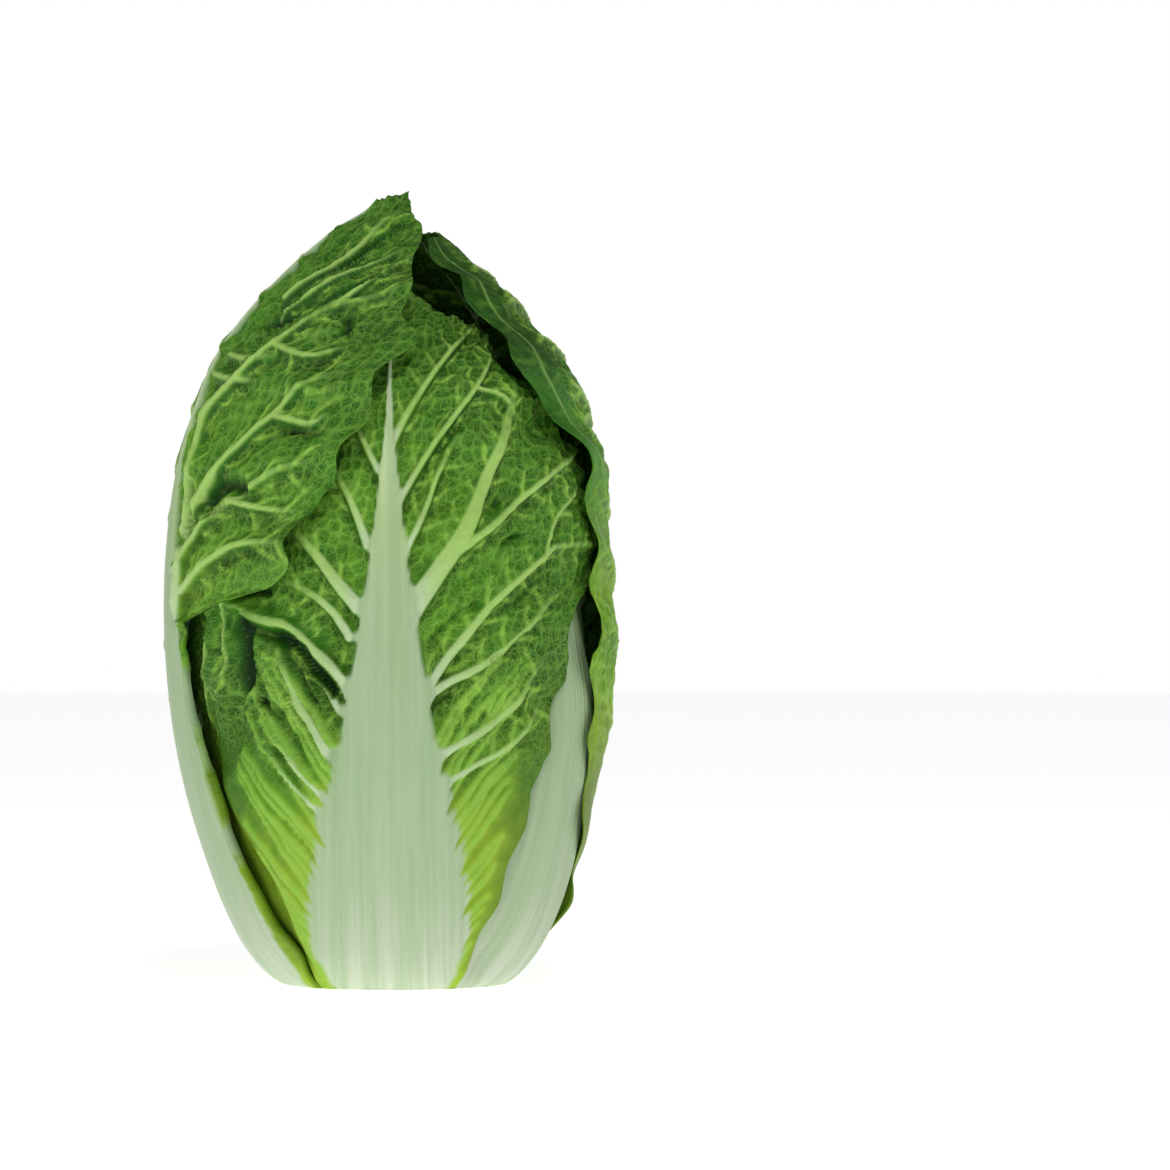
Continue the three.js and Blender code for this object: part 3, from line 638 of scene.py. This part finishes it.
# The raised veins, the pits between them and the crumple of a blade, and the numbers that the
# material reads.
def dress(name, leaf, whorl, field):
    across, along, z, out = field["across"], field["along"], field["z"], field["out"]
    isWrapper = whorl is wrapperWhorl
    seed = leaf["seed"] * 7
    veins = []
    feathers = []
    for sideName in ("left", "right"):
        if isWrapper and (name, sideName) in seenVeins:
            veins += [(fromFront(leaf, whorl, points), width) for width, points in seenVeins[name, sideName]]
        else:
            veins += ruledVeins(leaf, whorl, sideName)
        feathers += featherVeins(leaf, whorl, sideName)
    gap, height, shoulder, clear = veinField(across, along, veins)
    leeGap, _, _, leeClear = veinField(across, along + crinkle["hollowBelow"], veins)
    lee = np.exp(-(np.maximum(leeGap, 0) / 2.2) ** 2) * (0.3 + 0.7 * leeClear)
    featherX = across + 0.8 * hills(across, along, 8, seed + 9)
    featherGap, featherHeight, featherShoulder, featherClear = veinField(featherX, along, feathers, 6)
    twigGap, twigHeight, twigShoulder, twigClear = veinField(across, along, twigVeins(leaf, veins), 5)
    lowTop = leaf.get("feathersTo", 84) + 22
    low = ease(lowTop, lowTop - 34, z) * ease(2, 10, z)

    # the rib's edge runs out along each vein that leaves it
    edge = field["beyond"] * head["ribFlank"] / through(leaf.get("ribWide", [[0, 1], [300, 1]]))(z)
    barbs = 0.16 * ease(2, 30, z) * ease(100, 66, z)
    edge -= barbs * np.exp(-(np.maximum(featherGap, 0) / 1.2) ** 2)
    edge -= 0.12 * np.exp(-(np.maximum(gap, 0) / 1.5) ** 2)
    blade = ease(0.86, 0.97, edge + 0.04 * hills(across, along, 5, seed + 10))

    warpX = across + 2 * hills(across, along, 8, seed + 1)
    warpY = along + 2 * hills(across, along, 8, seed + 2)
    wall = wallDistance(warpX, warpY, crinkle["cell"], seed + 3)
    wideWall = wallDistance(warpX, warpY, crinkle["wideCell"], seed + 4)
    band = 0 * z
    if name == "right_back" and isWrapper:
        band = ease(0.82, 0.88, out) * (across < 0) * ease(176, 196, z)
        bandVein = np.abs(out - 0.925 - 0.008 * hills(along, 0 * z, 20, 75)) * 90
        gap = gap + 8 * band
        gap = np.where(band > 0.5, np.minimum(gap, bandVein - 0.2 + 3 * (1 - band)), gap)
        clear = np.where(band > 0.5, 0.6, clear)
    high = ease(60, 104, z) * (1 - 0.75 * band)
    pits = (0.7 * ease(0, 1.8, wall) + 0.7 * ease(0, 4, wideWall)) * high
    crumple = 0
    for i, (apart, tall) in enumerate(crinkle["hills"]):
        crumple = crumple + tall * hills(across, along, apart, seed + 6 + i)
    hollow = lee * ease(0.2, 1.6, gap)
    relief = height * (1 - 0.45 * out) * (0.4 + 0.6 * clear)
    relief += high * (crinkle["swell"] * shoulder - crinkle["hollow"] * hollow - crinkle["sunk"])
    twigs = crinkle["twig"] * twigHeight + crinkle["twigSwell"] * twigShoulder
    relief += high * twigs * (0.4 + 0.6 * twigClear)
    relief -= crinkle["pit"] * pits * ease(-0.5, 3, gap) * (1 - 0.3 * hollow)
    barbed = crinkle["feather"] * featherHeight + crinkle["featherSwell"] * featherShoulder
    relief += low * (barbed - crinkle["featherSunk"])
    relief += crumple * (high + 0.35 * low) * (1 - 0.4 * shoulder)
    deep = 0 * z
    if name in foldSets and isWrapper:
        folds = foldHeight(foldSets[name]["folds"], leaf, whorl, across, along)
        folds = folds * ease(4, 12, np.abs(across))       # none on the rib
        steepFold = slopeOf(folds, across, along)
        darkFrom, darkTo = foldSets[name]["dark"]
        # painted shade: the floor of a deep fold is darkened where it lies in shadow
        deep = ease(darkFrom, darkTo, -folds)
        clear = clear * (1 - ease(0.9, 1.8, steepFold))
        relief = relief * (1 - 0.85 * ease(0.5, 1.4, steepFold)) + folds
    relief = np.maximum(relief, -crinkle["deepestAtEdge"] - crinkle["deeperInside"] * (1 - out ** 2))
    relief = relief * whorl["relief"] * blade * field["sideRelief"] * (1 - 0.6 * field["tucked"])
    tone = through(leaf["tone"])(z) + 0.16 * hills(across, along, 30, seed + 8)
    nearRib = np.exp(-np.maximum(edge - 1, 0) / 0.5) * (z < 200)
    tone += 0.25 * (out - 0.5) * ease(60, 115, z) - 0.3 * nearRib * ease(150, 90, z)
    field["depth"] = field["depth"] - relief
    steep = slopeOf(relief, across, along)
    flat = 1 - ease(0.7, 1.8, steep)
    field.update({"rib": 1 - blade, "gap": gap, "clear": clear, "deep": deep, "up": z / 240})
    field["wall"] = np.where(high > 0.05, wall + 3 * (1 - high), 3)
    field["high"] = high * flat * ease(-1, 0.8, gap)
    # painted shade: pit marks where shade falls, in the pits of the net, the hollows under the veins, the
    # crumple's creases and between the low veins
    featherPit = (1 - featherShoulder) * low * ease(0.4, 1.6, featherGap)
    crease = np.clip(-crumple / 3, 0, 1) * high
    pit = 0.35 * pits + 0.85 * hollow * high + 0.75 * featherPit + 0.4 * crease
    field["pit"] = np.clip(pit, 0, 1) * blade
    feather = ease(1.1, -0.2, featherGap) * low * (0.6 + 0.4 * featherClear)
    twig = ease(0.9, -0.3, twigGap) * high * flat * (0.3 + 0.7 * twigClear)
    field["feather"] = np.maximum(feather, 0.9 * twig) * blade
    field["white"] = np.exp(-np.maximum(edge - 1, 0) / 0.8) * (0.4 + 0.6 * clear)
    field["tone"] = np.clip(tone - 0.5 * field["tucked"], 0, 1)      # a tucked flank is painted paler: painted light against the shadow of the leaf over it
    return field


# What the leaf materials read at each point: how far it is rib and not blade, its height, the
# distance in mm to the nearest vein, how clear and how white that vein is, the distance to the
# net, how far the net has set in, the painted shade of its pits and creases, the thin veins, the
# painted shade of deep folds, the tone of green, and the place on the leaf in mm.
leafValues = [
    "rib", "up", "gap", "clear", "white", "wall", "high", "pit", "feather", "deep", "tone", "across", "along",
]


# The leaf as a closed sheet: a fine outer face, an inner face at half the pitch, and a rim.
def leafMesh(name, leaf, whorl):
    columns, rows = 2 * leaf["columns"], 2 * leaf["rows"]
    half = columns // 2
    t = np.linspace(0, 1, half + 1)[None, :]
    v = np.linspace(0, 1, rows + 1)[:, None]
    left = leafSide(leaf, whorl, "left", t, v)
    right = leafSide(leaf, whorl, "right", t, v)
    field = {key: np.hstack((left[key][:, :0:-1], right[key])) for key in left}
    field = dress(name, leaf, whorl, field)
    line = whorl["line"]
    front = place(line, leaf["azimuth"], field["angle"], field["s"], field["depth"])
    under = field["depth"] + field["thickness"]
    back = place(line, leaf["azimuth"], field["angle"], field["s"], under)[::2, ::2]
    f = np.arange(front.shape[0] * front.shape[1]).reshape(front.shape[:2])
    b = f.size + np.arange(back.shape[0] * back.shape[1]).reshape(back.shape[:2])
    quads = [
        np.stack((f[:-1, :-1], f[:-1, 1:], f[1:, 1:], f[1:, :-1]), axis=-1).reshape(-1, 4),
        np.stack((b[:-1, :-1], b[1:, :-1], b[1:, 1:], b[:-1, 1:]), axis=-1).reshape(-1, 4),
    ]
    rim = [(f[0, ::-1], b[0, ::-1]), (f[-1], b[-1]), (f[:, -1][::-1], b[:, -1][::-1]), (f[:, 0], b[:, 0])]
    triangles = []
    for fine, coarse in rim:
        a0, a1, a2, c0, c1 = fine[:-2:2], fine[1::2], fine[2::2], coarse[:-1], coarse[1:]
        triangles += [np.stack(trio, axis=-1) for trio in ((c0, a0, a1), (c0, a1, c1), (c1, a1, a2))]
    values = {}
    for key in leafValues:
        values[key] = np.concatenate((field[key].ravel(), field[key][::2, ::2].ravel()))
    return np.vstack((front.reshape(-1, 3), back.reshape(-1, 3))), quads, triangles, values


def meshObject(name, points, quads, triangles, values):
    corners = np.concatenate([q.ravel() for q in quads] + [t.ravel() for t in triangles])
    sizes = np.concatenate([np.full(len(q), 4) for q in quads] + [np.full(len(t), 3) for t in triangles])
    mesh = bpy.data.meshes.new(name)
    mesh.vertices.add(len(points))
    mesh.vertices.foreach_set("co", (points * mm).astype(np.float32).ravel())
    mesh.loops.add(len(corners))
    mesh.loops.foreach_set("vertex_index", corners.astype(np.int32))
    mesh.polygons.add(len(sizes))
    mesh.polygons.foreach_set("loop_start", np.concatenate(([0], np.cumsum(sizes)[:-1])).astype(np.int32))
    mesh.polygons.foreach_set("use_smooth", np.ones(len(sizes), bool))
    mesh.update(calc_edges=True)
    for key, value in values.items():
        mesh.attributes.new(key, "FLOAT", "POINT").data.foreach_set("value", value.astype(np.float32))
    obj = bpy.data.objects.new(name, mesh)
    bpy.context.collection.objects.link(obj)
    return obj


# Materials

def toLinear(hexColour):
    parts = [int(hexColour[i:i + 2], 16) / 255 for i in (1, 3, 5)]
    return [c / 12.92 if c <= 0.04045 else ((c + 0.055) / 1.055) ** 2.4 for c in parts] + [1]


# Settings are of the node or of its inputs. A link comes from a socket, or from a node's own result.
def addNode(tree, kind, settings=(), links=()):
    node = tree.nodes.new("ShaderNode" + kind)
    for key, value in dict(settings).items():
        if isinstance(key, int) or key in node.inputs:
            node.inputs[key].default_value = value
        else:
            setattr(node, key, value)
    for socket, source in dict(links).items():
        if isinstance(source, bpy.types.Node):
            source = source.outputs["Result" if "Result" in source.outputs else 0]
        tree.links.new(source, node.inputs[socket])
    return node


# Fills a colour ramp from (position, colour) stops, the first at 0 and the last at 1.
def fillRamp(node, stops):
    elements = node.color_ramp.elements
    for element, stop in zip(elements, (stops[0], stops[-1])):
        element.color = toLinear(stop[1])
    for position, colour in stops[1:-1]:
        elements.new(position).color = toLinear(colour)


def newMaterial(name):
    material = bpy.data.materials.new(name)
    material.use_nodes = True
    material.node_tree.nodes.clear()
    return material, material.node_tree


# Waxy leaf, a living blade over a white fibrous rib. The wax gives a soft broad shine, the
# watery flesh lets a little light through, and the veins are paler than the green between.
def waxyLeaf(name, look):
    material, tree = newMaterial(name)
    read = {}
    for key in leafValues:
        node = addNode(tree, "Attribute", {"attribute_type": "GEOMETRY", "attribute_name": key})
        read[key] = node.outputs["Fac"]
    spot = addNode(tree, "CombineXYZ", {}, {"X": read["across"], "Y": read["along"]})
    slow = addNode(tree, "Math", {"operation": "MULTIPLY", 1: 0.04}, {0: read["along"]})
    stretch = addNode(tree, "CombineXYZ", {}, {"X": read["across"], "Y": slow})

    # mottling of the green 6 mm apart, the nets' straying, the rib's fibres 2.5 mm apart in
    # bundles about 9 mm wide, and the grain of the blade
    noises = {}
    for key, apart, detail, where in (
        ("mottle", 6, 4, spot), ("stray", 5, 2, spot), ("fibres", 2.5, 3, stretch),
        ("bundles", 9, 1, stretch), ("grain", 0.8, 3, spot),
    ):
        settings = {"noise_dimensions": "2D", "Scale": 1 / apart, "Detail": detail}
        noises[key] = addNode(tree, "TexNoise", settings, {"Vector": where})

    shift = addNode(tree, "Math", {"operation": "MULTIPLY_ADD", 1: look["mottle"], 2: -look["mottle"] / 2},
                    {0: noises["mottle"]})
    toned = addNode(tree, "Math", {"operation": "ADD", "use_clamp": True}, {0: read["tone"], 1: shift})
    green = addNode(tree, "ValToRGB", {}, {"Fac": toned})
    last = len(look["greens"]) - 1
    fillRamp(green, [(i / last, colour) for i, colour in enumerate(look["greens"])])

    # painted shade: the pits, the creases and the hollows under the veins are painted a deeper green
    depth = addNode(tree, "Math", {"operation": "MULTIPLY", 1: look["pitShadeShare"]}, {0: read["pit"]})
    pitShaded = addNode(tree, "Mix", {"data_type": "RGBA", "B": toLinear(look["pit"])},
                     {"Factor": depth, "A": green})

    # the finer veins: the walls in the mesh, and two nets with cells about 3 mm and 1.6 mm across
    wander = addNode(tree, "VectorMath", {"operation": "MULTIPLY_ADD", 1: (2.6, 2.6, 0)},
                     {0: noises["stray"].outputs["Color"], 2: spot})
    lines = []
    for cell, fadeFrom, fadeTo, share in ((3, 0.12, 0.02, 1), (1.6, 0.2, 0.04, 0.5)):
        cells = addNode(tree, "TexVoronoi",
                        {"voronoi_dimensions": "2D", "feature": "DISTANCE_TO_EDGE", "Scale": 1 / cell},
                        {"Vector": wander})
        lines.append((cells.outputs["Distance"], fadeFrom, fadeTo, look["fineNet"] * share))
    lines.append((read["wall"], 0.75, 0.2, look["net"]))
    nets = [
        addNode(tree, "MapRange", {"From Min": low, "From Max": high, "To Max": strength}, {"Value": gap})
        for gap, low, high, strength in lines
    ]
    fineNets = addNode(tree, "Math", {"operation": "MAXIMUM"}, {0: nets[0], 1: nets[1]})
    allNets = addNode(tree, "Math", {"operation": "MAXIMUM"}, {0: fineNets, 1: nets[2]})
    netted = addNode(tree, "Math", {"operation": "MULTIPLY"}, {0: allNets, 1: read["high"]})
    feathered = addNode(tree, "Math", {"operation": "MULTIPLY_ADD", 1: look["feather"]},
                        {0: read["feather"], 2: netted})
    netColour = addNode(tree, "Mix", {"data_type": "RGBA", "B": toLinear(look["netColour"])},
                        {"Factor": feathered, "A": pitShaded})

    # the main side veins, and the painted shade of deep folds
    onVein = addNode(tree, "MapRange", {
        "interpolation_type": "SMOOTHSTEP", "From Min": 0.8, "From Max": -0.4, "To Max": 0.95,
    }, {"Value": read["gap"]})
    clearVein = addNode(tree, "Math", {"operation": "MULTIPLY"}, {0: onVein, 1: read["clear"]})
    veinColour = addNode(tree, "Mix", {
        "data_type": "RGBA", "A": toLinear(look["vein"]), "B": toLinear(look["veinFoot"]),
    }, {"Factor": read["white"]})
    veined = addNode(tree, "Mix", {"data_type": "RGBA"},
                     {"Factor": clearVein, "A": netColour, "B": veinColour})
    blade = addNode(tree, "Mix", {"data_type": "RGBA", "B": toLinear(look["deep"])},
                    {"Factor": read["deep"], "A": veined})

    ribBase = addNode(tree, "ValToRGB", {}, {"Fac": read["up"]})
    fillRamp(ribBase, look["ribs"])
    strands = addNode(tree, "Math", {"operation": "ADD"}, {0: noises["fibres"], 1: noises["bundles"]})
    strand = addNode(tree, "MapRange", {"From Min": 0.75, "From Max": 1.25, "To Min": 0.55, "To Max": 0},
                     {"Value": strands})
    ribColour = addNode(tree, "Mix", {"data_type": "RGBA", "B": toLinear(look["strand"])},
                        {"Factor": strand, "A": ribBase})
    colour = addNode(tree, "Mix", {"data_type": "RGBA"}, {"Factor": read["rib"], "A": blade, "B": ribColour})

    # relief too fine for the mesh: the nets on the blade and the fibres on the rib
    bladeHeight = addNode(tree, "Math", {"operation": "MULTIPLY_ADD", 1: 0.3},
                          {0: noises["grain"], 2: netted})
    height = addNode(tree, "Mix", {"data_type": "FLOAT"},
                     {"Factor": read["rib"], "A": bladeHeight, "B": noises["fibres"]})
    bump = addNode(tree, "Bump", {"Strength": look["bump"], "Distance": 0.0008}, {"Height": height})
    shader = addNode(tree, "BsdfPrincipled", {
        "Roughness": look["roughness"], "IOR": 1.42, "Subsurface Weight": look["flesh"],
        "Subsurface Radius": (0.5, 1, 0.25), "Subsurface Scale": 0.002, "Specular IOR Level": 0.22,
    }, {"Base Color": colour, "Normal": bump})
    addNode(tree, "OutputMaterial", {}, {"Surface": shader})
    return material


# In each look, the pit colour and the colour of deep folds are painted shade.
wrapperLook = {
    "greens": ["#98BA30", "#629D20", "#387A1A", "#1B4C11"], "pit": "#133708", "pitShadeShare": 0.68,
    "deep": "#10300A", "vein": "#A2C968", "veinFoot": "#BDD3A6", "netColour": "#92C24C",
    "net": 0.36, "fineNet": 0.44, "feather": 0.76,
    "ribs": [(0, "#C6CCBA"), (0.16, "#AFC09F"), (0.35, "#A6BC95"), (0.6, "#A9BF95"), (0.72, "#ACC38C"),
             (0.84, "#C8DCA6"), (1, "#D6E6BE")],
    "strand": "#93B182", "mottle": 0.45, "bump": 0.8, "roughness": 0.5, "flesh": 0.06,
}
innerLook = {
    "greens": ["#E6EBB0", "#CFDF7C", "#A9CC55"], "pit": "#9FBE4E", "pitShadeShare": 0.5, "deep": "#9FBE4E",
    "vein": "#EEF2D0", "veinFoot": "#EEF2D0", "netColour": "#E3EDB8", "net": 0.5, "fineNet": 0.3,
    "feather": 0.4, "ribs": [(0, "#EEF2E2"), (1, "#E4EBD2")], "strand": "#D2DDBE",
    "mottle": 0.4, "bump": 0.5, "roughness": 0.42, "flesh": 0.15,
}
heartLook = {
    "greens": ["#F1EDB8", "#F0DF6C", "#E3CC3E"], "pit": "#CDB236", "pitShadeShare": 0.5, "deep": "#CDB236",
    "vein": "#F6F0BE", "veinFoot": "#F6F0BE", "netColour": "#F4EBA4", "net": 0.5, "fineNet": 0.3,
    "feather": 0.4, "ribs": [(0, "#F8F6E6"), (1, "#F0EFD8")], "strand": "#E9E6C8",
    "mottle": 0.4, "bump": 0.5, "roughness": 0.45, "flesh": 0.2,
}


# Fresh-cut stem: wet white pith with a ring of fibre bundles, which the knife leaves matt.
def cutStem():
    material, tree = newMaterial("cut stem pith")
    middle = addNode(tree, "TexCoord").outputs["Object"]
    flat = addNode(tree, "VectorMath", {"operation": "MULTIPLY", 1: (1, 1, 0)}, {0: middle})
    radius = addNode(tree, "VectorMath", {"operation": "LENGTH"}, {0: flat})
    wander = addNode(tree, "TexNoise", {"Scale": 160, "Detail": 3}, {"Vector": flat})
    shifted = addNode(tree, "Math", {"operation": "MULTIPLY_ADD", 1: 0.006},
                      {0: wander, 2: radius.outputs["Value"]})
    share = addNode(tree, "Math", {"operation": "MULTIPLY", 1: 1 / 0.03}, {0: shifted})
    rings = addNode(tree, "ValToRGB", {}, {"Fac": share})
    fillRamp(rings, [(0, "#EDEBD8"), (0.5, "#E9E9D4"), (0.62, "#D3D6AE"), (0.7, "#E6E8D2"),
                     (0.95, "#E9EBDC"), (1, "#C9C79E")])
    pores = addNode(tree, "TexVoronoi", {"Scale": 700}, {"Vector": flat})
    bump = addNode(tree, "Bump", {"Strength": 0.3, "Distance": 0.0004}, {"Height": pores})
    shader = addNode(tree, "BsdfPrincipled", {
        "Roughness": 0.5, "IOR": 1.38, "Subsurface Weight": 0.2, "Subsurface Radius": (1, 1, 0.6),
        "Subsurface Scale": 0.002,
    }, {"Base Color": rings, "Normal": bump})
    addNode(tree, "OutputMaterial", {}, {"Surface": shader})
    return material


# Building

# Adds a piece that rides on the head, in place of a node if one is given.
def addPiece(name, parts, material, node=None):
    obj = meshObject(name, *parts)
    obj.data.materials.append(material)
    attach(obj, "root")
    if node:
        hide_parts(node)


wrapperMaterial = waxyLeaf("waxy outer leaf", wrapperLook)
for name, leaf in wrapperLeaves.items():
    node = "wrapper_leaf_" + name
    addPiece(node + "_fine", leafMesh(name, leaf, wrapperWhorl), wrapperMaterial, node)
print("wrapper leaves built")

innerMaterial = waxyLeaf("pale inner leaf", innerLook)
for order, name in enumerate(innerLeaves["names"]):
    leaf = {
        "azimuth": innerLeaves["firstAzimuth"] + innerLeaves["turn"] * order, "order": order,
        "top": innerLeaves["firstTop"] - innerLeaves["topStep"] * order, "seed": 30 + order,
        "columns": innerLeaves["columns"], "rows": innerLeaves["rows"], "tone": innerLeaves["tone"],
    }
    for sideName, tuck in zip(("left", "right"), innerLeaves["tucks"][order]):
        leaf[sideName] = {
            "margin": innerLeaves["margin"], "tuck": [8, 24, tuck], "lift": nothing, "drop": 24, "frill": 0.4,
        }
    node = "inner_leaf_" + name
    addPiece(node + "_fine", leafMesh(name, leaf, innerWhorl), innerMaterial, node)
print("inner leaves built")


# A smooth solid of revolution, with the head's flattening, from [radius, height] points.
def turnedMesh(points, columns, uneven=0, seed=0):
    points = np.array(points, float)
    turn = np.linspace(0, 2 * np.pi, columns, endpoint=False)
    radius = points[1:-1, 0][:, None] * np.ones(columns)
    height = points[1:-1, 1][:, None] * np.ones(columns)
    swell = 1 + uneven * hills(np.abs(np.sin(turn / 2)) * 60 + 0 * radius, height, 9, seed)
    x, y = radius * swell * np.sin(turn), -radius * swell * np.cos(turn) * flattening
    ring = np.stack((x, y, height), axis=-1)
    count = ring.shape[0] * columns
    index = np.arange(count).reshape(ring.shape[:2])
    after = np.roll(index, -1, axis=1)
    quads = [np.stack((index[:-1], after[:-1], after[1:], index[1:]), axis=-1).reshape(-1, 4)]
    low, high = count, count + 1
    triangles = [
        np.stack((np.full(columns, low), after[0], index[0]), axis=-1),
        np.stack((np.full(columns, high), index[-1], after[-1]), axis=-1),
    ]
    tips = [[0, 0, points[0, 1]], [0, 0, points[-1, 1]]]
    return np.vstack((ring.reshape(-1, 3), tips)), quads, triangles


heartMaterial = waxyLeaf("yellow heart leaf", heartLook)
coreLine = heartWhorl["line"]
coreAlong = np.linspace(0, coreLine.length, 60)
coreOutline = np.column_stack((np.maximum(coreLine.radius(coreAlong), 0), coreLine.height(coreAlong)))
core = turnedMesh(coreOutline, 72, 0.02, 81)
coreX, _, coreZ = core[0].T
coreValues = {key: 0 * coreX for key in leafValues}
for key, value in {"gap": 6, "wall": 3, "tone": 0.5, "across": coreX, "along": coreZ}.items():
    coreValues[key] = coreValues[key] + value
addPiece("heart_fine", (*core, coreValues), heartMaterial, "heart")
for order in range(heartLeaves["count"]):
    side = {
        "margin": heartLeaves["margin"], "tuck": [10, 20, 0], "lift": nothing, "drop": 12, "frill": 0.8,
    }
    leaf = {
        "azimuth": heartLeaves["firstAzimuth"] + heartLeaves["turn"] * order, "order": order,
        "top": heartLeaves["firstTop"] - heartLeaves["topStep"] * order,
        "left": side, "right": side, "seed": 50 + order, "tone": heartLeaves["tone"],
        "columns": heartLeaves["columns"], "rows": heartLeaves["rows"],
    }
    addPiece("heart_leaf_" + str(order), leafMesh("heart", leaf, heartWhorl), heartMaterial)
print("heart built")

stump = {
    "outline": [[0, 0], [12, 0], [24.8, 0], [25.2, 0.5], [25.2, 8], [22.4, 12.5], [20.6, 20], [17, 28],
                [9, 33], [0, 34.5]],
    "columns": 96,
}
addPiece("stump_fine", (*turnedMesh(stump["outline"], stump["columns"]), {}), cutStem(), "stump")
print("stump built")


# Studio: a pale lit table all round, a bright horizon under a dimmer ceiling, two soft lamps

studio = {
    "table": "#FFFFFF", "tableRadius": 6, "tableGlow": 0.74,
    "frameWidth": 0.441,      # what the photograph's 1170 px span at the head, in metres
    "aim": (0.0716, 0, 0.150), "distance": 2.2,
    "lamps": [
        {"name": "key", "spot": (0.3, -1.4, 1.8), "at": (0, 0, 0.15), "size": 0.6, "watts": 13},
        {"name": "fill", "spot": (-1.6, -1.5, 0.8), "at": (0, 0, 0.15), "size": 1.4, "watts": 5.5},
    ],
    "horizon": 1, "ceiling": 0.16,
    "horizonEnds": 0.11, "ceilingStarts": 0.3,      # as the sine of the angle up
}


# A frosted acrylic table, lit from below so that it photographs as plain white.
def frostedTable():
    material, tree = newMaterial("frosted lit acrylic")
    frost = addNode(tree, "TexNoise", {"Scale": 400, "Detail": 2})
    bump = addNode(tree, "Bump", {"Strength": 0.05, "Distance": 0.0003}, {"Height": frost})
    shader = addNode(tree, "BsdfPrincipled", {
        "Base Color": toLinear(studio["table"]), "Roughness": 0.9, "IOR": 1.49, "Specular IOR Level": 0.1,
        "Emission Color": toLinear(studio["table"]), "Emission Strength": studio["tableGlow"],
    }, {"Normal": bump})
    addNode(tree, "OutputMaterial", {}, {"Surface": shader})
    return material


rimCount = 96
rimTurn = np.linspace(0, 2 * np.pi, rimCount, endpoint=False)
tableRim = np.column_stack((np.cos(rimTurn), np.sin(rimTurn), 0 * rimTurn)) * studio["tableRadius"] / mm
rimIndex = np.arange(rimCount)
tableFaces = [np.column_stack((np.full(rimCount, rimCount), rimIndex, np.roll(rimIndex, -1)))]
floor = meshObject("table", np.vstack((tableRim, [[0, 0, 0]])), [], tableFaces, {})
floor.data.materials.append(frostedTable())

for lamp in studio["lamps"]:
    light = bpy.data.lights.new(lamp["name"], "AREA")
    light.shape = "DISK"
    light.size = lamp["size"]
    light.energy = lamp["watts"]
    holder = bpy.data.objects.new(lamp["name"], light)
    holder.location = lamp["spot"]
    holder.rotation_euler = (Vector(lamp["at"]) - Vector(lamp["spot"])).to_track_quat("-Z", "Y").to_euler()
    bpy.context.collection.objects.link(holder)

world = bpy.data.worlds.new("studio room")
world.use_nodes = True
room = world.node_tree
direction = addNode(room, "TexCoord")
upward = addNode(room, "SeparateXYZ", {}, {"Vector": direction.outputs["Generated"]})
glow = addNode(room, "MapRange", {
    "interpolation_type": "SMOOTHSTEP", "From Min": studio["horizonEnds"],
    "From Max": studio["ceilingStarts"], "To Min": studio["horizon"], "To Max": studio["ceiling"],
}, {"Value": upward.outputs["Z"]})
room.nodes["Background"].inputs["Color"].default_value = (1, 1, 1, 1)
room.links.new(glow.outputs["Result"], room.nodes["Background"].inputs["Strength"])
bpy.context.scene.world = world
bpy.context.scene.view_settings.view_transform = "Standard"    # colours as the photograph has them

view = bpy.data.cameras.new("camera")
view.sensor_width = 36
view.lens = 36 * studio["distance"] / studio["frameWidth"]
camera = bpy.data.objects.new("camera", view)
aim = Vector(studio["aim"])
camera.location = aim + Vector((0, -studio["distance"], 0))
camera.rotation_euler = (math.pi / 2, 0, 0)
bpy.context.collection.objects.link(camera)
bpy.context.scene.camera = camera
print("studio set")
